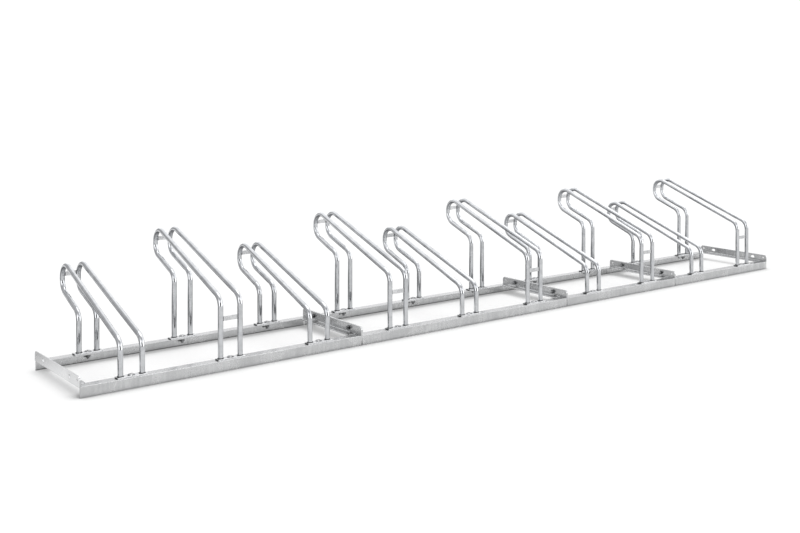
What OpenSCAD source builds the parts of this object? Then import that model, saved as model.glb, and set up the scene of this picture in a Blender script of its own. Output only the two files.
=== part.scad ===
// Floor bike rack: angle steel floor frames bolted end to end, with a pair of bent tube
// hoops for each wheel, low and high by turns.
// Origin: middle of the footprint, on the floor. +X runs along the row, +Y to the back.

/* [Row] */
// Spacing from wheel place to wheel place
place_pitch = 350; // [320:10:500]
// Wheel places in each bolted section
section_places = [3, 3, 2, 2];

/* [Angle steel] */
// Depth over the two rails
frame_depth = 390; // [350:5:450]
// Leg length of the steel angle
angle_leg = 35; // [32:1:40]
// Thickness of the steel angle
angle_t = 4; // [3:0.5:5]
// Radius of the fillet inside the angle
root_r = 3; // [1:0.5:3]
// Radius at the toe of each leg
toe_r = 2; // [0.5:0.5:2.5]
// Radius of the angle's outer corner
corner_r = 1.5; // [0.5:0.5:2]
// Step from the section's end plane back to the rail web
rail_setback = 2; // [1:0.5:2.5]

/* [End brackets] */
// Distance between the two bolt slots
slot_spacing = 234; // [200:2:260]
// Length of a bolt slot
slot_len = 20; // [14:1:26]
// Width of a bolt slot
slot_w = 11; // [10.5:0.5:13]
// Height of the slots above the rail top
slot_rise = 15.5; // [14:0.5:18]
// Diameter of the small end holes
end_hole_d = 7; // [5:0.5:9]
// Height of the small end holes above the rail top
end_hole_rise = 18; // [14:0.5:20]
// Radius of the bracket's top corners
bracket_corner_r = 12; // [6:1:14]

/* [Hoops] */
// Outer diameter of the hoop tube
tube_d = 18; // [16:1:22]
// Wall thickness of the hoop tube
tube_wall = 2; // [1.5:0.5:3]
// Bend radius of the tube, at its centre line
bend_r = 45; // [36:1:50]
// Slope of the two leaning runs, in degrees
slope = 20; // [15:1:24]
// Height of a low hoop above the floor
low_height = 325; // [310:5:360]
// Height of a high hoop above the floor
high_height = 415; // [390:5:460]
// Reach of the hook behind the rear post
hook_reach = 160; // [130:5:190]
// Height of the front slope above the rear slope
hook_drop = 104; // [100:1:112]
// Clear width between a pair's front posts
front_gap = 55; // [50:1:65]
// Clear width between a pair's rear posts
rear_gap = 44.5; // [40:0.5:55]

/* [Ties] */
// Height of a tie bar
tie_h = 15; // [10:1:18]
// Thickness of a tie bar
tie_t = 4; // [3:0.5:6]
// Depth of the upper tie's centre below the hoop top
upper_tie_drop = 44; // [42:1:46]
// Height of the lower tie's centre above the rail top
lower_tie_rise = 135; // [100:1:150]

/* [Feet] */
// Reach of a foot channel past the front posts
foot_margin = 4.5; // [3:0.5:10]
// Width of a foot channel
foot_w = 25; // [24:1:30]
// Height of a foot channel
foot_h = 4.5; // [4:0.5:8]
// Sheet thickness of a foot channel
foot_t = 2; // [1.5:0.5:2.5]
// Outer bend radius of a foot channel
foot_r = 2; // [1.5:0.5:3]

/* [Foot bolts] */
// Thread diameter of a foot bolt
foot_bolt_d = 10; // [8:1:10]
// Diameter of a foot bolt's round head
dome_d = 24; // [20:1:24]
// Height of a foot bolt's round head
dome_h = 5; // [4:0.2:6]
// Height of the straight edge of the round head
dome_edge = 1; // [0.6:0.2:1.6]
// Length of the square neck under the round head
neck_len = 3.5; // [3:0.5:4]
// Length of a foot bolt under its head
foot_bolt_len = 25; // [23:1:28]
// Size of a foot bolt's nut across its flats
foot_nut_flats = 17; // [15:1:18]
// Height of a foot bolt's nut
foot_nut_h = 8; // [6:0.5:9]
// Outer diameter of the washer on a foot bolt
foot_washer_d = 20; // [18:1:22]
// Thickness of the washer on a foot bolt
foot_washer_t = 2; // [1.5:0.5:2.5]

/* [Joint bolts] */
// Thread diameter of a joint bolt
joint_bolt_d = 8; // [6:1:10]
// Size of a joint bolt's head and nut across their flats
joint_flats = 13; // [12:1:15]
// Height of a joint bolt's head
joint_head_h = 5.3; // [4.5:0.1:6.5]
// Height of a joint bolt's nut
joint_nut_h = 6.5; // [5:0.5:8]
// Outer diameter of a washer on a joint bolt
joint_washer_d = 16; // [15:1:20]
// Thickness of a washer on a joint bolt
joint_washer_t = 1.6; // [1.2:0.2:2]
// Length of a joint bolt under its head
joint_bolt_len = 25; // [23:1:30]

/* [Bolt fits] */
// Added to the bolt's size in the hole that it passes through
bolt_clear = 1; // [0.5:0.5:2]
// Added to the bolt's diameter in a nut or a washer
ring_clear = 0.5; // [0.2:0.1:1]
// Depth of the chamfer at a bolt's tip
tip_chamfer = 1; // [0.5:0.5:1.5]
// Depth of the chamfer on the corners of a hexagon
hex_chamfer = 1; // [0.5:0.1:1.2]

/* [Hidden] */
$fn = 64;
// Overrun of every cut past the face that it opens
cut = 1;

sections = len(section_places);
function sum_places(n) = n == 0 ? 0 : sum_places(n - 1) + section_places[n - 1];
places = sum_places(sections);
row_len = places * place_pitch;

// Height of the rail top, and centre line of each rail flange from its outer face
rail_top = angle_leg;
post_inset = angle_leg / 2;
post_gap = frame_depth - 2 * post_inset;
slot_z = rail_top + slot_rise;
end_hole_z = rail_top + end_hole_rise;

// Half spacing of a pair of hoops at its front posts and at its rear posts
front_half = (front_gap + tube_d) / 2;
rear_half = (rear_gap + tube_d) / 2;
// Each hoop stands in its own upright plane, and the planes close towards the back
toe_in = atan((front_half - rear_half) / post_gap);
post_run = post_gap / cos(toe_in);
reach = post_run + hook_reach;
overall_depth = post_inset + reach * cos(toe_in) + tube_d / 2;
hook_half = front_half - reach * sin(toe_in);

// Turn between an upright and a slope, and round the loop, with the length each bend uses
knee = 90 - slope;
loop = 90 + slope;
knee_cut = bend_r * tan(knee / 2);
loop_cut = bend_r * tan(loop / 2);
foot_top = rail_top + foot_h;
foot_len = front_gap + 2 * (tube_d + foot_margin);

// What a bend loses of the tube's diameter, and how far each straight run laps into it
bend_thinning = 0.3;
bend_lap = 1.2;

function is_high(p) = p % 2 == 0;
function height(p) = is_high(p) ? high_height : low_height;
function loop_centre_z(p) = height(p) - (tube_d - bend_thinning) / 2 - bend_r;
// Corners of the hoop's path before they are rounded
function front_corner_z(p) = loop_centre_z(p) + loop_cut - reach * tan(slope);
function rear_corner_z(p) = front_corner_z(p) + post_run * tan(slope) - hook_drop;
function hook_corner_z(p) = rear_corner_z(p) + hook_reach * tan(slope);

// Places along the row
function place_x(p) = (p - 1 / 2) * place_pitch - row_len / 2;
function section_start(s) = sum_places(s - 1) * place_pitch - row_len / 2;
function section_len(s) = section_places[s - 1] * place_pitch;
function section_of(p, s = 1) = p <= sum_places(s) ? s : section_of(p, s + 1);
front_y = -overall_depth / 2;
rear_y = front_y + frame_depth;
front_post_y = front_y + post_inset;
rear_post_y = rear_y - post_inset;
middle_y = front_y + frame_depth / 2;
joints = [for (s = [1:1:sections - 1]) section_start(s + 1)];
rail_post_rows = [front_post_y, rear_post_y];
slot_rows = [middle_y - slot_spacing / 2, middle_y + slot_spacing / 2];

function two_digits(n) = n < 10 ? str("0", n) : str(n);
function hoop_name(p, side) = str("hoop_", two_digits(p), side < 0 ? "_left" : "_right");

// Square corner less the quarter round that fits it, to round a corner at the origin
module corner_waste(r) {
    difference() {
        translate([-cut, -cut]) square(r + cut);
        translate([r, r]) circle(r);
    }
}

// Steel angle in outline: legs along +x and +y from the outer corner at the origin
module angle_outline() {
    difference() {
        union() {
            square([angle_leg, angle_t]);
            square([angle_t, angle_leg]);
            translate([angle_t, angle_t]) difference() {
                square(root_r);
                translate([root_r, root_r]) circle(root_r);
            }
        }
        corner_waste(corner_r);
        translate([angle_leg, angle_t]) rotate(180) corner_waste(toe_r);
        translate([angle_t, angle_leg]) rotate(180) corner_waste(toe_r);
    }
}

// Rail along +x from the origin: web at y = 0 down to the floor, flange on top towards +y
module rail_angle(length) {
    translate([0, 0, rail_top]) rotate([0, 90, 0]) linear_extrude(length) angle_outline();
}

// One rail of a section, with its ends let in under the brackets and its bolt holes
module rail(s) {
    difference() {
        translate([rail_setback, 0, 0]) rail_angle(section_len(s) - 2 * rail_setback);
        for (end_x = [0, section_len(s)])
            translate([end_x - angle_t, -cut, rail_top - angle_t])
                cube([2 * angle_t, angle_leg + 2 * cut, angle_t + cut]);
        for (i = [1:section_places[s - 1]])
            translate([(i - 1 / 2) * place_pitch, post_inset, rail_top - angle_t - cut])
                cylinder(d = foot_bolt_d + bolt_clear, h = angle_t + 2 * cut);
    }
}

module front_rail(s) {
    color("gainsboro") translate([section_start(s), front_y, 0]) rail(s);
}

module rear_rail(s) {
    color("gainsboro") translate([section_start(s), rear_y, 0]) mirror([0, 1, 0]) rail(s);
}

module slot_hole() {
    for (side = [-1, 1])
        translate([-cut, side * (slot_len - slot_w) / 2, 0]) rotate([0, 90, 0])
            cylinder(d = slot_w, h = angle_t + 2 * cut);
    translate([-cut, (slot_w - slot_len) / 2, -slot_w / 2])
        cube([angle_t + 2 * cut, slot_len - slot_w, slot_w]);
}

// Quarter round taken off one top corner of the upright leg, in the y-z plane
module bracket_corner_cut() {
    translate([-cut, 0, 0]) rotate([90, 0, 90]) linear_extrude(angle_t + 2 * cut)
        corner_waste(bracket_corner_r);
}

// End bracket at a section's start: outer face at x = 0, lower leg inwards between the flanges
module bracket() {
    bracket_top = rail_top - angle_t + angle_leg;
    difference() {
        translate([0, frame_depth, rail_top - angle_t]) rotate([90, 0, 0])
            linear_extrude(frame_depth) angle_outline();
        for (y = [-cut, frame_depth - angle_leg])
            translate([angle_t, y, rail_top - angle_t - cut])
                cube([angle_leg, angle_leg + cut, angle_t + root_r + 2 * cut]);
        translate([0, 0, bracket_top]) mirror([0, 0, 1]) bracket_corner_cut();
        translate([0, frame_depth, bracket_top]) mirror([0, 0, 1]) mirror([0, 1, 0])
            bracket_corner_cut();
        for (side = [-1, 1])
            translate([0, (frame_depth + side * slot_spacing) / 2, slot_z]) slot_hole();
        for (y = [post_inset, frame_depth - post_inset])
            translate([-cut, y, end_hole_z]) rotate([0, 90, 0])
                cylinder(d = end_hole_d, h = angle_t + 2 * cut);
    }
}

module left_bracket(s) {
    color("lightgray") translate([section_start(s), front_y, 0]) bracket();
}

module right_bracket(s) {
    color("lightgray") translate([section_start(s) + section_len(s), front_y, 0])
        mirror([1, 0, 0]) bracket();
}

// Straight run of round bar along +z that laps the bends next to it, with what follows it
module run(length, d, lead = bend_lap, tail = bend_lap) {
    translate([0, 0, -lead]) cylinder(d = d, h = length + lead + tail);
    translate([0, 0, length]) children();
}

// Bend from +z towards +y by an angle, or towards -y when it is negative
module turn(angle, d) {
    way = angle < 0 ? 180 : 0;
    bend = abs(angle);
    rotate([0, 0, way]) {
        translate([0, bend_r, 0]) rotate([0, 90, 0]) rotate([0, 0, -90]) mirror([0, 1, 0])
            rotate_extrude(angle = bend) translate([bend_r, 0]) circle(d = d - bend_thinning);
        translate([0, bend_r, 0]) rotate([-bend, 0, 0]) translate([0, -bend_r, 0])
            rotate([0, 0, -way]) children();
    }
}

// Hoop in its own plane, y = 0 at the front post: up, back along the slope, round the loop
// and down the hook to the rear post
module hoop_bar(p, d, over) {
    translate([0, 0, foot_top])
        run(front_corner_z(p) - knee_cut - foot_top, d, lead = over) turn(knee, d)
        run(reach / cos(slope) - knee_cut - loop_cut, d) turn(loop, d)
        run(loop_centre_z(p) - hook_corner_z(p) - knee_cut, d) turn(knee, d)
        run(hook_reach / cos(slope) - 2 * knee_cut, d) turn(-knee, d)
        run(rear_corner_z(p) - knee_cut - foot_top, d, tail = over);
}

module hoop_tube(p) {
    difference() {
        hoop_bar(p, tube_d, 0);
        hoop_bar(p, tube_d - 2 * tube_wall, cut);
    }
}

// Puts what follows in the plane of the left or right hoop of a place
module in_hoop_plane(p, side) {
    translate([place_x(p) + side * front_half, front_post_y, 0])
        rotate([0, 0, side * toe_in]) children();
}

module hoop(p, side) {
    color("silver") in_hoop_plane(p, side) hoop_tube(p);
}

// Ring of the whole loop bend, used to cope the upper tie
module loop_ring(p) {
    translate([0, reach - bend_r, loop_centre_z(p)]) rotate([0, 90, 0])
        rotate_extrude() translate([bend_r, 0]) circle(d = tube_d);
}

module tie_bar(p, half, y, z) {
    translate([place_x(p) - half, y - tie_t / 2, z - tie_h / 2]) cube([2 * half, tie_t, tie_h]);
}

module upper_tie(p) {
    tie_z = height(p) - upper_tie_drop;
    // The loop has begun to lean forward at the tie's height
    rise = tie_z - loop_centre_z(p);
    lean = bend_r - sqrt(bend_r * bend_r - rise * rise);
    difference() {
        tie_bar(p, hook_half, front_post_y + (reach - lean) * cos(toe_in), tie_z);
        for (side = [-1, 1]) in_hoop_plane(p, side) loop_ring(p);
    }
}

module upper_ties() {
    color("silver") for (p = [1:places]) upper_tie(p);
}

module lower_tie(p) {
    tie_z = rail_top + lower_tie_rise;
    difference() {
        tie_bar(p, front_half, front_post_y, tie_z);
        for (side = [-1, 1])
            translate([place_x(p) + side * front_half, front_post_y, tie_z - tie_h / 2 - cut])
                cylinder(d = tube_d, h = tie_h + 2 * cut);
    }
}

module lower_ties() {
    color("silver") for (p = [1:places]) if (is_high(p)) lower_tie(p);
}

// Channel with its open side down, its middle at the origin of the rail top
module foot() {
    neck_hole = foot_bolt_d + bolt_clear;
    difference() {
        translate([-foot_len / 2, 0, 0]) rotate([90, 0, 90]) linear_extrude(foot_len)
            difference() {
                translate([-foot_w / 2, 0]) square([foot_w, foot_h]);
                translate([foot_t - foot_w / 2, -cut])
                    square([foot_w - 2 * foot_t, foot_h - foot_t + cut]);
                translate([foot_w / 2, foot_h]) rotate(180) corner_waste(foot_r);
                translate([-foot_w / 2, foot_h]) rotate(-90) corner_waste(foot_r);
            }
        translate([-neck_hole / 2, -neck_hole / 2, foot_h - foot_t - cut])
            cube([neck_hole, neck_hole, foot_t + 2 * cut]);
    }
}

module feet(y) {
    color("silver") for (p = [1:places]) translate([place_x(p), y, rail_top]) foot();
}

// Hexagon with the corners of its top face chamfered
module hexagon(flats, height) {
    corner_d = flats / cos(30);
    chamfer_rise = (corner_d - flats) / 2 + hex_chamfer;
    intersection() {
        cylinder(d = corner_d, h = height, $fn = 6);
        union() {
            cylinder(d = corner_d + 2 * cut, h = height - hex_chamfer);
            translate([0, 0, height - hex_chamfer])
                cylinder(d1 = corner_d, d2 = corner_d - 2 * chamfer_rise, h = hex_chamfer);
        }
    }
}

// Round head that rises to a shallow dome from a short straight edge
module dome_head() {
    crown = dome_h - dome_edge;
    crown_r = (dome_d * dome_d / 4 + crown * crown) / (2 * crown);
    rotate_extrude() intersection() {
        translate([0, dome_h - crown_r]) circle(crown_r);
        square([dome_d / 2, dome_h]);
    }
}

// Threaded shank of a bolt down to its chamfered tip, from the origin along -z
module shank(d, length) {
    translate([0, 0, tip_chamfer - length]) cylinder(d = d, h = length - tip_chamfer);
    translate([0, 0, -length]) cylinder(d1 = d - 2 * tip_chamfer, d2 = d, h = tip_chamfer);
}

module washer(d, thickness, hole) {
    difference() {
        cylinder(d = d, h = thickness);
        translate([0, 0, -cut]) cylinder(d = hole, h = thickness + 2 * cut);
    }
}

// Nut along -z from the origin, with its chamfered face down
module nut(flats, height, hole) {
    mirror([0, 0, 1]) difference() {
        hexagon(flats, height);
        translate([0, 0, -cut]) cylinder(d = hole, h = height + 2 * cut);
    }
}

// Axis of the bolt through each foot, from the rail top upwards
module at_feet() {
    for (p = [1:places], y = rail_post_rows) translate([place_x(p), y, rail_top]) children();
}

// Round-headed bolt whose square neck sits in the foot's square hole
module foot_bolt() {
    dome_head();
    translate([-foot_bolt_d / 2, -foot_bolt_d / 2, -neck_len])
        cube([foot_bolt_d, foot_bolt_d, neck_len]);
    shank(foot_bolt_d, foot_bolt_len);
}

module foot_bolts() {
    color("dimgray") at_feet() translate([0, 0, foot_h]) foot_bolt();
}

module foot_washers() {
    color("darkgray") at_feet() translate([0, 0, -angle_t - foot_washer_t])
        washer(foot_washer_d, foot_washer_t, foot_bolt_d + ring_clear);
}

module foot_nuts() {
    color("dimgray") at_feet() translate([0, 0, -angle_t - foot_washer_t])
        nut(foot_nut_flats, foot_nut_h, foot_bolt_d + ring_clear);
}

// Axis of the bolt through each joint slot: local z runs along +x from the joint plane
module at_joints() {
    for (x = joints, y = slot_rows) translate([x, y, slot_z]) rotate([0, 90, 0]) children();
}

module joint_bolts() {
    color("dimgray") at_joints() translate([0, 0, angle_t + joint_washer_t]) {
        hexagon(joint_flats, joint_head_h);
        shank(joint_bolt_d, joint_bolt_len);
    }
}

module joint_washers() {
    color("darkgray") at_joints() for (z = [angle_t, -angle_t - joint_washer_t])
        translate([0, 0, z]) washer(joint_washer_d, joint_washer_t, joint_bolt_d + ring_clear);
}

module joint_nuts() {
    color("dimgray") at_joints() translate([0, 0, -angle_t - joint_washer_t])
        nut(joint_flats, joint_nut_h, joint_bolt_d + ring_clear);
}

for (s = [1:sections]) {
    front_rail(s);
    rear_rail(s);
    left_bracket(s);
    right_bracket(s);
}
for (p = [1:places], side = [-1, 1])
    hoop(p, side);
upper_ties();
lower_ties();
feet(front_post_y);  // front_feet
feet(rear_post_y);  // rear_feet
foot_bolts();
foot_washers();
foot_nuts();
joint_bolts();
joint_washers();
joint_nuts();
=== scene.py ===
import math

import bmesh
import bpy
from mathutils import Matrix, Vector, noise


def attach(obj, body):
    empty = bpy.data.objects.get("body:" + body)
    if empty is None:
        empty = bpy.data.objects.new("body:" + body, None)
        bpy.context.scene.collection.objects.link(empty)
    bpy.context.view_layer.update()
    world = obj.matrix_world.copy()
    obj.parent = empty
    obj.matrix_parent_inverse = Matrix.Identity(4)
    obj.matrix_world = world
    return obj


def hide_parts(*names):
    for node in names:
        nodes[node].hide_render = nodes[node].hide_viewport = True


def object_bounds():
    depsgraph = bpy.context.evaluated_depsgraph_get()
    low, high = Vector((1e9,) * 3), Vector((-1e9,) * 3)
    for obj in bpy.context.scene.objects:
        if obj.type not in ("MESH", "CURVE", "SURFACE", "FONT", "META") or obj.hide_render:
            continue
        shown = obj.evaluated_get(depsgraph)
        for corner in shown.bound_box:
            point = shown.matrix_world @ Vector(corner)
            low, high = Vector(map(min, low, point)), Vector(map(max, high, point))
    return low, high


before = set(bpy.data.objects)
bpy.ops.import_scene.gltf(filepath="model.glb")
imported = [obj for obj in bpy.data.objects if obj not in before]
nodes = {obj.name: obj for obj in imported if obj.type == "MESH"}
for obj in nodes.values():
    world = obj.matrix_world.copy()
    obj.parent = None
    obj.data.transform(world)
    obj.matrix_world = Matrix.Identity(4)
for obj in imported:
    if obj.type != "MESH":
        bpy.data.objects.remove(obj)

cad_low, cad_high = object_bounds()
mm = 0.001

# Sizes that the added pieces share with the solids
PLACES = 10
PITCH = 350 * mm
SECTION_PLACES = [3, 3, 2, 2]
ROW = PLACES * PITCH
FRAME_DEPTH = 390 * mm
ANGLE_LEG = 35 * mm
ANGLE_T = 4 * mm
SLOT_SPACING = 234 * mm
SLOT_Z = 50.5 * mm
POST_INSET = 17.5 * mm
POST_GAP = 355 * mm
TUBE_R = 9 * mm
CAD_BENT_R = 8.85 * mm
BENT_R = 8.79 * mm
BEND_R = 45 * mm
SLOPE = math.radians(20)
LOW, HIGH = 325 * mm, 415 * mm
HOOK_REACH = 160 * mm
HOOK_DROP = 104 * mm
FRONT_HALF = 36.5 * mm
REAR_HALF = 31.25 * mm
RAIL_TOP = 35 * mm
FOOT_H = 4.5 * mm
FOOT_TOP = RAIL_TOP + FOOT_H
TIE_H, TIE_T = 15 * mm, 4 * mm
UPPER_TIE_DROP = 44 * mm
LOWER_TIE_Z = RAIL_TOP + 135 * mm

# Sizes of the bolts
FOOT_BOLT_R, FOOT_BOLT_LEN = 5 * mm, 25 * mm
DOME_R, DOME_H, DOME_EDGE = 12 * mm, 5 * mm, 1 * mm
DOME_LIP = 0.3 * mm
NECK_LEN = 3.5 * mm
NECK_GAP = 0.2 * mm
PLAIN_SHANK = 3 * mm
FOOT_PITCH = 1.5 * mm
JOINT_BOLT_R, JOINT_BOLT_LEN = 4 * mm, 25 * mm
JOINT_FLATS, JOINT_HEAD_H, JOINT_HEAD_EDGE = 13 * mm, 5.3 * mm, 0.9 * mm
JOINT_WASHER_T = 1.6 * mm
JOINT_PITCH = 1.25 * mm

TOE_IN = math.atan((FRONT_HALF - REAR_HALF) / POST_GAP)
POST_RUN = POST_GAP / math.cos(TOE_IN)
REACH = POST_RUN + HOOK_REACH
HOOK_HALF = FRONT_HALF - REACH * math.sin(TOE_IN)
FRONT_Y = cad_low[1]
REAR_Y = FRONT_Y + FRAME_DEPTH
FRONT_POST_Y = FRONT_Y + POST_INSET
REAR_POST_Y = REAR_Y - POST_INSET
MIDDLE_Y = FRONT_Y + FRAME_DEPTH / 2
KNEE = math.pi / 2 - SLOPE
LOOP = math.pi / 2 + SLOPE
KNEE_CUT = BEND_R * math.tan(KNEE / 2)
LOOP_CUT = BEND_R * math.tan(LOOP / 2)


def is_high(place):
    return place % 2 == 0


def place_x(place):
    return (place - 0.5) * PITCH - ROW / 2


def hoop_height(place):
    return HIGH if is_high(place) else LOW


def loop_centre_z(place):
    return hoop_height(place) - CAD_BENT_R - BEND_R


def section_ends():
    """The x of both ends of each section, from left to right."""
    start = -ROW / 2
    for count in SECTION_PLACES:
        yield start, start + count * PITCH
        start += count * PITCH


# Materials

class Wire:
    """A socket in a node tree, with the maths that the finishes are written in."""

    def __init__(self, tree, socket):
        self.tree = tree
        self.socket = socket

    def node(self, kind, settings=None, **inputs):
        """Makes a node; an input is named, or numbered as i0, i1 and so on."""
        made = self.tree.nodes.new(kind)
        for name, value in (settings or {}).items():
            setattr(made, name, value)
        for name, value in inputs.items():
            key = int(name[1:]) if name[0] == "i" and name[1:].isdigit() else name.replace("_", " ")
            if isinstance(value, Wire):
                self.tree.links.new(value.socket, made.inputs[key])
            else:
                made.inputs[key].default_value = value
        return made

    def of(self, made, output=0):
        return Wire(self.tree, made.outputs[output])

    def maths(self, operation, a, b):
        return self.of(self.node("ShaderNodeMath", {"operation": operation}, i0=a, i1=b))

    def __add__(self, other):
        return self.maths("ADD", self, other)

    __radd__ = __add__

    def __sub__(self, other):
        return self.maths("SUBTRACT", self, other)

    def __rsub__(self, other):
        return self.maths("SUBTRACT", other, self)

    def __mul__(self, other):
        return self.maths("MULTIPLY", self, other)

    __rmul__ = __mul__

    def part(self, axis):
        """One axis of a place or a direction: 0, 1 or 2 for x, y or z."""
        return self.of(self.node("ShaderNodeSeparateXYZ", None, Vector=self), axis)

    def between(self, low, high):
        """A smooth rise from 0 at low to 1 at high."""
        made = self.node("ShaderNodeMapRange", {"clamp": True, "interpolation_type": "SMOOTHSTEP"},
                         Value=self, From_Min=low, From_Max=high)
        return self.of(made)


def new_finish(name):
    """An empty material with its shader, and a wire on Object coordinates to write from."""
    material = bpy.data.materials.new(name)
    material.use_nodes = True
    tree = material.node_tree
    shader = tree.nodes["Principled BSDF"]
    where = Wire(tree, tree.nodes.new("ShaderNodeTexCoord").outputs["Object"])
    return material, shader, where


def stretched(where, scale):
    return where.of(where.node("ShaderNodeMapping", {"vector_type": "POINT"}, Vector=where, Scale=scale))


def grain(where, scale, detail=3.0, roughness=0.55, distortion=0.0):
    made = where.node("ShaderNodeTexNoise", None, Vector=where, Scale=scale, Detail=detail,
                      Roughness=roughness, Distortion=distortion)
    return where.of(made)


def spangle(where, scale):
    """One random tone for each zinc crystal."""
    cells = where.node("ShaderNodeTexVoronoi", {"feature": "F1", "voronoi_dimensions": "3D"},
                       Vector=where, Scale=scale, Randomness=1.0)
    return where.of(where.node("ShaderNodeSeparateColor", None, Color=where.of(cells, "Color")))


def blend(share, a, b):
    """A colour between a and b, by share."""
    made = share.node("ShaderNodeMix", {"data_type": "RGBA", "clamp_factor": True}, i0=share)
    for index, value in ((6, a), (7, b)):
        if isinstance(value, Wire):
            share.tree.links.new(value.socket, made.inputs[index])
        else:
            made.inputs[index].default_value = (*value, 1)
    return share.of(made, 2)


def feed(shader, name, wire):
    wire.tree.links.new(wire.socket, shader.inputs[name])


def bump(wire, strength, distance):
    return wire.of(wire.node("ShaderNodeBump", None, Strength=strength, Distance=distance, Height=wire))


def galvanised_angle():
    """Hot-dip galvanised steel angle: faint crystals, clouds and runs, with painted shade on the front
    rail, on the flange tops and along the foot of the legs, and a painted highlight on the left end face.
    """
    material, shader, where = new_finish("galvanised_angle_steel")
    cloud = grain(where, 9.0, 4.0, 0.6, 0.4).between(0.3, 0.7)
    crystals = spangle(where, 120.0)
    fine = grain(where, 420.0, 2.0, 0.5)
    runs = grain(stretched(where, (70.0, 70.0, 7.0)), 1.0, 4.0, 0.6, 0.5).between(0.40, 0.70)
    dull = grain(where, 22.0, 3.0, 0.6, 0.8).between(0.55, 0.80)
    tone = cloud * 0.50 + crystals * 0.08 + runs * 0.42
    colour = blend(tone, (0.50, 0.505, 0.51), (0.65, 0.655, 0.66))
    colour = blend(dull * 0.4, colour, (0.72, 0.725, 0.725))
    along, deep, up = where.part(0), where.part(1), where.part(2)
    # Painted shade: the front rail and the front end of the brackets are made darker, more so towards the
    # floor.
    front = 1.0 - deep.between(FRONT_Y + 2 * ANGLE_LEG, FRONT_Y + 3.5 * ANGLE_LEG)
    painted_low_shade = 1.0 - up.between(-4 * mm, 10 * mm)
    # Painted shade: a darker band on the flange tops at rail height.
    painted_top_shade = up.between(RAIL_TOP - 1.5 * mm, RAIL_TOP - 0.2 * mm)
    painted_top_shade = painted_top_shade * (1.0 - up.between(RAIL_TOP + 0.2 * mm, RAIL_TOP + 1.2 * mm))
    # All the painted shade above, mixed towards near black.
    grime_and_painted_shade = front * (0.13 + painted_low_shade * 0.18) + painted_top_shade * 0.14
    colour = blend(grime_and_painted_shade, colour, (0.03, 0.03, 0.03))
    # Painted highlight: the outer face of the left end bracket is made lighter, a little less at the front.
    painted_light_end_face = 1.0 - along.between(0.3 * mm - ROW / 2, 0.8 * mm - ROW / 2)
    colour = blend(painted_light_end_face, colour, blend(front, (0.78, 0.785, 0.79), (0.68, 0.685, 0.69)))
    # Painted shade: a near-black line along the bottom of the rear rail's leg, where it meets the floor.
    rear_leg = deep.between(REAR_Y - 19 * mm, REAR_Y + 1 * mm)
    foot = rear_leg * (1.0 - up.between(1.5 * mm, 4.5 * mm))
    feed(shader, "Base Color", blend(foot * 0.95, colour, (0.08, 0.08, 0.08)))
    feed(shader, "Roughness", 0.22 + cloud * 0.05 + crystals * 0.02 + dull * 0.06)
    feed(shader, "Normal", bump(fine * 0.1 + cloud * 0.5, 0.04, 0.0005))
    shader.inputs["Metallic"].default_value = 0.85
    return material


def zinc_tube():
    """Zinc plated tube: satin, with small cloudy patches and specks."""
    material, shader, where = new_finish("zinc_plated_tube")
    cloud = grain(where, 30.0, 4.0, 0.6, 0.6).between(0.3, 0.72)
    drawn = grain(where, 900.0, 2.0, 0.5)
    speck = grain(where, 240.0, 3.0, 0.65).between(0.55, 0.75)
    feed(shader, "Base Color", blend(cloud * 0.75 + speck * 0.25, (0.46, 0.47, 0.485), (0.62, 0.63, 0.645)))
    feed(shader, "Roughness", 0.03 + cloud * 0.03 + speck * 0.07)
    feed(shader, "Normal", bump(drawn * 0.4 + cloud * 0.8, 0.10, 0.0004))
    shader.inputs["Metallic"].default_value = 1.0
    return material


def zinc_strip():
    """Zinc plated flat steel of the ties and feet."""
    material, shader, where = new_finish("zinc_plated_strip")
    cloud = grain(where, 60.0, 4.0, 0.6, 0.6).between(0.3, 0.72)
    speck = grain(where, 380.0, 3.0, 0.65).between(0.5, 0.75)
    feed(shader, "Base Color", blend(cloud * 0.7 + speck * 0.3, (0.46, 0.465, 0.475), (0.64, 0.645, 0.65)))
    feed(shader, "Roughness", 0.22 + cloud * 0.10 + speck * 0.10)
    feed(shader, "Normal", bump(speck * 0.4 + cloud * 0.8, 0.15, 0.0004))
    shader.inputs["Metallic"].default_value = 0.95
    return material


def bolt_steel(name, deep, pale):
    """Zinc plated bolts, nuts and washers, a little grimy."""
    material, shader, where = new_finish(name)
    cloud = grain(where, 160.0, 4.0, 0.6, 0.5).between(0.3, 0.7)
    grime_and_painted_shade = grain(where, 520.0, 3.0, 0.6).between(0.5, 0.72)
    colour = blend(cloud, deep, pale)
    feed(shader, "Base Color", blend(grime_and_painted_shade * 0.6, colour, (0.05, 0.05, 0.05)))
    feed(shader, "Roughness", 0.10 + cloud * 0.10 + grime_and_painted_shade * 0.15)
    feed(shader, "Normal", bump(grime_and_painted_shade * 0.5 + cloud * 0.5, 0.2, 0.0003))
    shader.inputs["Metallic"].default_value = 1.0
    return material


def weld_metal(name, deep, pale):
    """Weld metal, rougher and darker than the steel beside it."""
    material, shader, where = new_finish(name)
    cloud = grain(where, 300.0, 4.0, 0.6, 0.5).between(0.3, 0.7)
    pits = grain(where, 900.0, 3.0, 0.6).between(0.35, 0.65)
    feed(shader, "Base Color", blend(cloud, deep, pale))
    feed(shader, "Roughness", 0.26 + cloud * 0.2)
    feed(shader, "Normal", bump(cloud * 0.6 + pits * 0.4, 0.3, 0.0004))
    shader.inputs["Metallic"].default_value = 0.8
    return material


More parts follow.
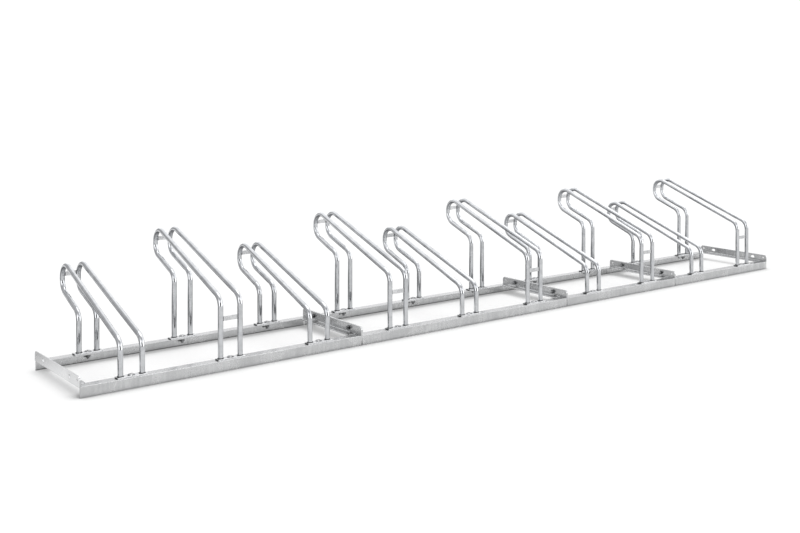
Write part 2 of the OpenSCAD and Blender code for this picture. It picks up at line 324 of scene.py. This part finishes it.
ANGLE_FINISH = galvanised_angle()
TUBE_FINISH = zinc_tube()
STRIP_FINISH = zinc_strip()
BOLT_FINISH = bolt_steel("zinc_plated_bolts", (0.20, 0.20, 0.205), (0.48, 0.485, 0.49))
NUT_FINISH = bolt_steel("zinc_plated_nuts", (0.08, 0.08, 0.082), (0.24, 0.245, 0.25))
POST_WELD_FINISH = weld_metal("dark_weld", (0.01, 0.01, 0.0105), (0.10, 0.10, 0.102))
FRAME_WELD_FINISH = weld_metal("galvanised_weld", (0.36, 0.365, 0.37), (0.58, 0.585, 0.59))


def finish_for(name):
    if "rail" in name or "bracket" in name:
        return ANGLE_FINISH
    if name.startswith("hoop"):
        return TUBE_FINISH
    if "ties" in name or "feet" in name:
        return STRIP_FINISH
    if "nuts" in name or "washers" in name:
        return NUT_FINISH
    return BOLT_FINISH


for name, obj in nodes.items():
    for slot in obj.material_slots:
        slot.material = finish_for(name)


# Pieces

MERGE = 0.001 * mm
SHARP_EDGE = math.radians(38)


def add_piece(name, shape, finish, replaced=()):
    """Puts a finished bmesh in the scene as a piece that rides on the rack."""
    bmesh.ops.remove_doubles(shape, verts=shape.verts, dist=MERGE)
    bmesh.ops.recalc_face_normals(shape, faces=shape.faces)
    mesh = bpy.data.meshes.new(name)
    shape.to_mesh(mesh)
    shape.free()
    mesh.materials.append(finish)
    for face in mesh.polygons:
        face.use_smooth = True
    mesh.set_sharp_from_angle(angle=SHARP_EDGE)
    piece = bpy.data.objects.new(name, mesh)
    bpy.context.scene.collection.objects.link(piece)
    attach(piece, "root")
    for node in replaced:
        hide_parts(node)
    return piece


def corners(geometry):
    return [g for g in geometry if isinstance(g, bmesh.types.BMVert)]


def edges_of(geometry):
    return [g for g in geometry if isinstance(g, bmesh.types.BMEdge)]


class TubeBender:
    """Draws a tube from an end ring: straight runs and bends in the y-z plane."""

    SIDES = 32
    EASE = 4 * mm

    def __init__(self, shape, start):
        self.shape = shape
        self.at = Vector(start)
        self.heading = 0.0
        self.radius = TUBE_R
        ring = bmesh.ops.create_circle(shape, cap_ends=True, segments=self.SIDES, radius=TUBE_R,
                                       matrix=Matrix.Translation(self.at))
        self.edges = [e for e in shape.edges if all(v in ring["verts"] for v in e.verts)]

    def draw(self, length, radius):
        """Extrudes the end ring along its heading to a new radius."""
        made = bmesh.ops.extrude_edge_only(self.shape, edges=self.edges)["geom"]
        step = Vector((0, math.sin(self.heading), math.cos(self.heading))) * length
        bmesh.ops.translate(self.shape, vec=step, verts=corners(made))
        self.edges = edges_of(made)
        self.at += step
        share = radius / self.radius
        bmesh.ops.scale(self.shape, vec=(share, share, share), space=Matrix.Translation(-self.at),
                        verts=corners(made))
        self.radius = radius

    def run(self, length, from_bend=True, to_bend=True):
        """A straight run, which narrows a little where a bend begins."""
        straight = length - self.EASE * (from_bend + to_bend)
        if from_bend:
            self.draw(self.EASE, TUBE_R)
        self.draw(straight, TUBE_R)
        if to_bend:
            self.draw(self.EASE, BENT_R)

    def turn(self, angle):
        way = 1 if angle > 0 else -1
        across = Vector((0, math.cos(self.heading), -math.sin(self.heading))) * way
        centre = self.at + across * BEND_R
        steps = max(6, round(abs(math.degrees(angle)) / 4))
        spun = bmesh.ops.spin(self.shape, geom=self.edges, cent=centre, axis=(1, 0, 0), dvec=(0, 0, 0),
                              angle=-angle, steps=steps, use_duplicate=False)
        self.edges = edges_of(spun["geom_last"])
        self.at = centre + Matrix.Rotation(-angle, 3, "X") @ (self.at - centre)
        self.heading += angle

    def close(self):
        bmesh.ops.contextual_create(self.shape, geom=self.edges)


def in_hoop_plane(place, side):
    stand = Matrix.Translation((place_x(place) + side * FRONT_HALF, FRONT_POST_Y, 0))
    return stand @ Matrix.Rotation(side * TOE_IN, 4, "Z")


def bent_hoop(place, side):
    """One hoop: up from the front foot, back along the slope, round the loop, down the hook."""
    shape = bmesh.new()
    loop_z = loop_centre_z(place)
    front_corner = loop_z + LOOP_CUT - REACH * math.tan(SLOPE)
    rear_corner = front_corner + POST_RUN * math.tan(SLOPE) - HOOK_DROP
    hook_corner = rear_corner + HOOK_REACH * math.tan(SLOPE)
    tube = TubeBender(shape, (0, 0, FOOT_TOP))
    tube.run(front_corner - KNEE_CUT - FOOT_TOP, from_bend=False)
    tube.turn(KNEE)
    tube.run(REACH / math.cos(SLOPE) - KNEE_CUT - LOOP_CUT)
    tube.turn(LOOP)
    tube.run(loop_z - hook_corner - KNEE_CUT)
    tube.turn(KNEE)
    tube.run(HOOK_REACH / math.cos(SLOPE) - 2 * KNEE_CUT)
    tube.turn(-KNEE)
    tube.run(rear_corner - KNEE_CUT - FOOT_TOP, to_bend=False)
    tube.close()
    bmesh.ops.transform(shape, matrix=in_hoop_plane(place, side), verts=shape.verts)
    node = f"hoop_{place:02d}_{'left' if side < 0 else 'right'}"
    add_piece(f"bent_{node}", shape, TUBE_FINISH, [node])


def turned(shape, outline, place, sides=24):
    """Spins an outline of (radius, height) points round the z axis and sets it in place."""
    points = [shape.verts.new((radius, 0, height)) for radius, height in outline]
    lines = [shape.edges.new(pair) for pair in zip(points, points[1:])]
    spun = bmesh.ops.spin(shape, geom=points + lines, cent=(0, 0, 0), axis=(0, 0, 1), dvec=(0, 0, 0),
                          angle=2 * math.pi, steps=sides, use_merge=True, use_duplicate=False)
    linked = set(points) | set(corners(spun["geom_last"]))
    grown = set(linked)
    while grown:
        grown = {e.other_vert(v) for v in grown for e in v.link_edges} - linked
        linked |= grown
    bmesh.ops.transform(shape, matrix=place, verts=list(linked))


def thread(radius, pitch, start, end):
    """Outline of a thread from start down to end: crests and roots a pitch apart."""
    root = radius - 0.54 * pitch
    count = int((start - end) / pitch)
    points = []
    for turn_number in range(count):
        crest = start - turn_number * pitch
        points += [(radius, crest), (radius, crest - 0.12 * pitch)]
        points += [(root, crest - 0.44 * pitch), (root, crest - 0.68 * pitch)]
    return points + [(root, end), (0, end)]


def dome(steps=7):
    """Outline of a round head from its crown down to the edge of its underside."""
    crown = DOME_H - DOME_EDGE
    radius = (DOME_R ** 2 + crown ** 2) / (2 * crown)
    half = math.asin(DOME_R / radius)
    arc = [(radius * math.sin(half * i / steps), DOME_H - radius * (1 - math.cos(half * i / steps)))
           for i in range(steps + 1)]
    return arc + [(DOME_R, DOME_LIP), (DOME_R - DOME_LIP, 0)]


def foot_bolts():
    """Round-headed bolts with a square neck, standing in the feet."""
    shape = bmesh.new()
    thread_top = -NECK_LEN - PLAIN_SHANK
    outline = dome() + [(FOOT_BOLT_R, 0), (FOOT_BOLT_R, thread_top)]
    outline += thread(FOOT_BOLT_R, FOOT_PITCH, thread_top, -FOOT_BOLT_LEN)
    for place in range(1, PLACES + 1):
        for y in (FRONT_POST_Y, REAR_POST_Y):
            stand = Matrix.Translation((place_x(place), y, FOOT_TOP))
            turned(shape, outline, stand)
            neck = stand @ Matrix.Translation((0, 0, -NECK_LEN / 2))
            size = Matrix.Diagonal((2 * FOOT_BOLT_R, 2 * FOOT_BOLT_R, NECK_LEN - NECK_GAP, 1))
            bmesh.ops.create_cube(shape, size=1, matrix=neck @ size)
    add_piece("round_head_foot_bolts", shape, BOLT_FINISH, ["foot_bolts"])


def hex_head(shape, place):
    """Hexagon head with its outer corners turned down."""
    corner_r = JOINT_FLATS / 2 / math.cos(math.radians(30))
    ring = bmesh.ops.create_circle(shape, cap_ends=True, segments=6, radius=corner_r, matrix=Matrix())
    face = ring["verts"][0].link_faces[0]
    made = bmesh.ops.extrude_face_region(shape, geom=[face], use_keep_orig=True)["geom"]
    top = corners(made)
    bmesh.ops.translate(shape, vec=(0, 0, JOINT_HEAD_H), verts=top)
    rim = [e for e in edges_of(made) if all(v in top for v in e.verts)]
    cut = bmesh.ops.bevel(shape, geom=rim, offset=JOINT_HEAD_EDGE, offset_type="OFFSET", affect="EDGES",
                          segments=2, profile=0.5, material=-1)
    verts = set(ring["verts"]) | set(cut["verts"]) | {v for v in top if v.is_valid}
    bmesh.ops.transform(shape, matrix=place, verts=list(verts))


def joint_bolts():
    """Hexagon bolts through the slots where two sections meet, heads to the right."""
    shape = bmesh.new()
    outline = [(JOINT_BOLT_R, 0), (JOINT_BOLT_R, -PLAIN_SHANK)]
    outline += thread(JOINT_BOLT_R, JOINT_PITCH, -PLAIN_SHANK, -JOINT_BOLT_LEN)
    for start, end in list(section_ends())[:-1]:
        for side in (-1, 1):
            y = MIDDLE_Y + side * SLOT_SPACING / 2
            seat = Matrix.Translation((end + ANGLE_T + JOINT_WASHER_T, y, SLOT_Z))
            seat = seat @ Matrix.Rotation(math.radians(90), 4, "Y")
            turned(shape, outline, seat)
            hex_head(shape, seat)
    add_piece("threaded_joint_bolts", shape, BOLT_FINISH, ["joint_bolts"])


# Welds

POST_BEAD = 2.4 * mm
FOOT_RIPPLE, TIE_RIPPLE, FRAME_RIPPLE = 0.55 * mm, 0.5 * mm, 0.6 * mm
TIE_BEAD, TIE_BEAD_EDGE = (2.8 * mm, 2.2 * mm), 0.9 * mm
FRAME_BEAD, FRAME_BEAD_EDGE = (4.2 * mm, 2.4 * mm), 1.1 * mm
FRAME_BEAD_SINK, FRAME_BEAD_SHORT = 0.4 * mm, 2 * mm


def ripple(shape, verts, amount, scale):
    """Moves a bead's points in and out a little, the same way on every run."""
    for vert in verts:
        wave = noise.noise(vert.co * scale)
        vert.co += vert.normal * wave * amount


def ring_bead(shape, place, radius, bead, sides=28):
    """Fillet bead round a post where it meets its foot."""
    sunk = radius - bead * 0.2
    outline = [(sunk, 0), (radius + bead, 0), (radius + bead * 0.86, bead * 0.42),
               (radius + bead * 0.42, bead * 0.86), (radius, bead * 1.15), (sunk, bead * 1.1)]
    turned(shape, outline, place, sides)


def foot_welds(name, y, half):
    shape = bmesh.new()
    for place in range(1, PLACES + 1):
        for side in (-1, 1):
            stand = Matrix.Translation((place_x(place) + side * half, y, FOOT_TOP))
            ring_bead(shape, stand, TUBE_R, POST_BEAD)
    shape.normal_update()
    ripple(shape, shape.verts, FOOT_RIPPLE, 420)
    add_piece(name, shape, POST_WELD_FINISH)


def bar_bead(shape, place, size, rounding):
    """Straight bead: a bar with all its edges rounded; the callers cut it along its length to take ripples.
    """
    made = bmesh.ops.create_cube(shape, size=1, matrix=place @ Matrix.Diagonal((*size, 1)))["verts"]
    edges = list({e for v in made for e in v.link_edges})
    bmesh.ops.bevel(shape, geom=edges, offset=rounding, offset_type="OFFSET", affect="EDGES",
                    segments=3, profile=0.5, material=-1)


def tie_ends():
    """The place of both ends of every tie: centre of the end, and which way the tie runs."""
    for place in range(1, PLACES + 1):
        tie_z = hoop_height(place) - UPPER_TIE_DROP
        rise = tie_z - loop_centre_z(place)
        lean = BEND_R - math.sqrt(BEND_R ** 2 - rise ** 2)
        tie_y = FRONT_POST_Y + (REACH - lean) * math.cos(TOE_IN)
        for side in (-1, 1):
            yield place_x(place) + side * (HOOK_HALF - TUBE_R), tie_y, tie_z
            if is_high(place):
                yield place_x(place) + side * (FRONT_HALF - TUBE_R), FRONT_POST_Y, LOWER_TIE_Z


def tie_welds():
    shape = bmesh.new()
    for x, y, z in tie_ends():
        for way in (-1, 1):
            upright = Matrix.Translation((x, y + way * TIE_T / 2, z))
            bar_bead(shape, upright, (*TIE_BEAD, TIE_H), TIE_BEAD_EDGE)
    long_edges = [e for e in shape.edges if e.calc_length() > TIE_H / 2]
    bmesh.ops.subdivide_edges(shape, edges=long_edges, cuts=7, use_grid_fill=True)
    shape.normal_update()
    ripple(shape, shape.verts, TIE_RIPPLE, 500)
    add_piece("tie_welds", shape, POST_WELD_FINISH)


def frame_welds():
    """Low beads on top, where each rail's flange meets the end bracket's lower leg."""
    shape = bmesh.new()
    length = ANGLE_LEG - ANGLE_T - FRAME_BEAD_SHORT
    for ends in section_ends():
        for end, inwards in zip(ends, (1, -1)):
            for y in (FRONT_Y + ANGLE_LEG, REAR_Y - ANGLE_LEG):
                x = end + inwards * (ANGLE_LEG + ANGLE_T) / 2
                middle = Matrix.Translation((x, y, RAIL_TOP - FRAME_BEAD_SINK))
                bar_bead(shape, middle, (length, *FRAME_BEAD), FRAME_BEAD_EDGE)
    long_edges = [e for e in shape.edges if e.calc_length() > length / 2]
    bmesh.ops.subdivide_edges(shape, edges=long_edges, cuts=17, use_grid_fill=True)
    shape.normal_update()
    ripple(shape, shape.verts, FRAME_RIPPLE, 380)
    add_piece("frame_welds", shape, FRAME_WELD_FINISH)


for place in range(1, PLACES + 1):
    for side in (-1, 1):
        bent_hoop(place, side)
foot_bolts()
joint_bolts()
foot_welds("front_foot_welds", FRONT_POST_Y, FRONT_HALF)
foot_welds("rear_foot_welds", REAR_POST_Y, REAR_HALF)
tie_welds()
frame_welds()


# Camera, light and floor

PHOTO_WIDTH = 800
HORIZON_SHIFT = -204.2 / PHOTO_WIDTH
CAMERA_PLACE = (-3.020, -3.5344, 1.0191)
CAMERA_TURN = math.radians(-37.363)
SUN_WAY = (-0.24, -0.02, -1.0)
SUN_SPREAD = math.radians(40)
SUN_POWER = 0.8
BOX_SIZE = (5.7, 4.5)
BOX_PLACE = (1.19, 1.25, 1.60)
BOX_GLOW = 0.72
OPENING_TURN = math.radians(18.4)
FLOOR_HALF = 30
FLOOR_GLOW = 0.36
SHADE_REACH = 60 * mm


def photo_camera():
    """A level 50 mm lens shifted down, as the photograph's upright posts show."""
    data = bpy.data.cameras.new("photo_camera")
    data.lens = 50
    data.sensor_width = 36
    data.shift_y = HORIZON_SHIFT
    data.clip_end = 100
    camera = bpy.data.objects.new("photo_camera", data)
    camera.location = CAMERA_PLACE
    camera.rotation_euler = (math.radians(90), 0, CAMERA_TURN)
    bpy.context.scene.collection.objects.link(camera)
    return camera


def key_light():
    """A broad soft light almost overhead, a little from the right."""
    data = bpy.data.lights.new("key_light", "SUN")
    data.energy = SUN_POWER
    data.angle = SUN_SPREAD
    light = bpy.data.objects.new("key_light", data)
    light.rotation_euler = Vector(SUN_WAY).to_track_quat("-Z", "Y").to_euler()
    bpy.context.scene.collection.objects.link(light)


def soft_box():
    """A wide box hung low over the row, there for the shine on the steel alone."""
    data = bpy.data.lights.new("soft_box", "AREA")
    data.shape = "RECTANGLE"
    data.size, data.size_y = BOX_SIZE
    data.energy = BOX_GLOW * math.pi * data.size * data.size_y
    box = bpy.data.objects.new("soft_box", data)
    box.location = BOX_PLACE
    box.visible_diffuse = False
    bpy.context.scene.collection.objects.link(box)


def studio_sky():
    """White to the camera and even on the floor; the steel sees the studio's walls and dim corners."""
    world = bpy.data.worlds.new("studio_sky")
    world.use_nodes = True
    tree = world.node_tree
    way = Wire(tree, tree.nodes.new("ShaderNodeTexCoord").outputs["Generated"])
    across, deep, up = way.part(0), way.part(1), way.part(2)
    left = blend(up.between(0.05, 0.80), (0.50, 0.50, 0.505), (0.72, 0.72, 0.73))
    right = blend(up.between(0.40, 0.62), (1.06, 1.06, 1.07), (0.75, 0.75, 0.76))
    back = blend(across.between(-0.20, 0.20), left, right)
    aside = across * math.cos(OPENING_TURN) - deep * math.sin(OPENING_TURN)
    opening = (1.0 - (aside * aside).between(0.13, 0.24)) * (1.0 - up.between(0.42, 0.52))
    high = blend(up.between(0.60, 0.72), (1.30, 1.30, 1.33), (0.65, 0.65, 0.66))
    front = blend(up.between(0.42, 0.52), (2.6, 2.6, 2.6), high)
    front = blend(opening, front, (0.01, 0.01, 0.01))
    room = blend(deep.between(-0.05, -0.25), back, front)
    room = way.of(way.node("ShaderNodeBackground", None, Color=room, Strength=1.0))
    dome = way.of(way.node("ShaderNodeBackground", None, Color=(1, 1, 1, 1), Strength=0.95))
    white = way.of(way.node("ShaderNodeBackground", None, Color=(1, 1, 1, 1), Strength=1.15))
    ray = way.node("ShaderNodeLightPath")
    lit = way.node("ShaderNodeMixShader", None, i0=way.of(ray, "Is Glossy Ray"), i1=dome, i2=room)
    seen = way.node("ShaderNodeMixShader", None, i0=way.of(ray, "Is Camera Ray"), i1=way.of(lit), i2=white)
    tree.links.new(seen.outputs[0], tree.nodes["World Output"].inputs["Surface"])
    return world


def contact_shade(where):
    """How much the steel standing on the floor keeps the light off it; less inside the frame."""
    occlusion = where.node("ShaderNodeAmbientOcclusion", {"samples": 6}, Distance=SHADE_REACH)
    closed = 1.0 - where.of(occlusion, "AO")
    inside = where.part(1).between(FRONT_Y + 0.3 * ANGLE_LEG, FRONT_Y + 2 * ANGLE_LEG)
    return closed * closed * (1.9 - inside * 1.5)


def studio_floor():
    """Pale lit table, which the steel sees darken behind the rack as a studio does."""
    material, shader, where = new_finish("studio_floor")
    fine = grain(where, 40.0, 3.0, 0.5)
    behind = where.part(1).between(-0.10, 0.60) * (1.0 - where.part(1).between(0.80, 1.30))
    mirrored = behind * where.of(where.node("ShaderNodeLightPath"), "Is Glossy Ray")
    shade = contact_shade(where)
    paint = blend(shade, blend(fine, (0.57, 0.57, 0.57), (0.59, 0.59, 0.59)), (0.0, 0.0, 0.0))
    glow = blend(shade, (1.0, 1.0, 1.0), (0.0, 0.0, 0.0))
    feed(shader, "Base Color", blend(mirrored, paint, (0.15, 0.15, 0.155)))
    feed(shader, "Emission Color", blend(mirrored, glow, (0.10, 0.10, 0.10)))
    shader.inputs["Emission Strength"].default_value = FLOOR_GLOW
    shader.inputs["Roughness"].default_value = 0.9
    shader.inputs["Specular IOR Level"].default_value = 0.1
    return material


def lay_floor():
    shape = bmesh.new()
    bmesh.ops.create_grid(shape, x_segments=1, y_segments=1, size=FLOOR_HALF)
    mesh = bpy.data.meshes.new("floor")
    shape.to_mesh(mesh)
    shape.free()
    mesh.materials.append(studio_floor())
    floor = bpy.data.objects.new("floor", mesh)
    bpy.context.scene.collection.objects.link(floor)


bpy.context.scene.camera = photo_camera()
key_light()
soft_box()
bpy.context.scene.world = studio_sky()
bpy.context.scene.view_settings.view_transform = "Standard"
lay_floor()
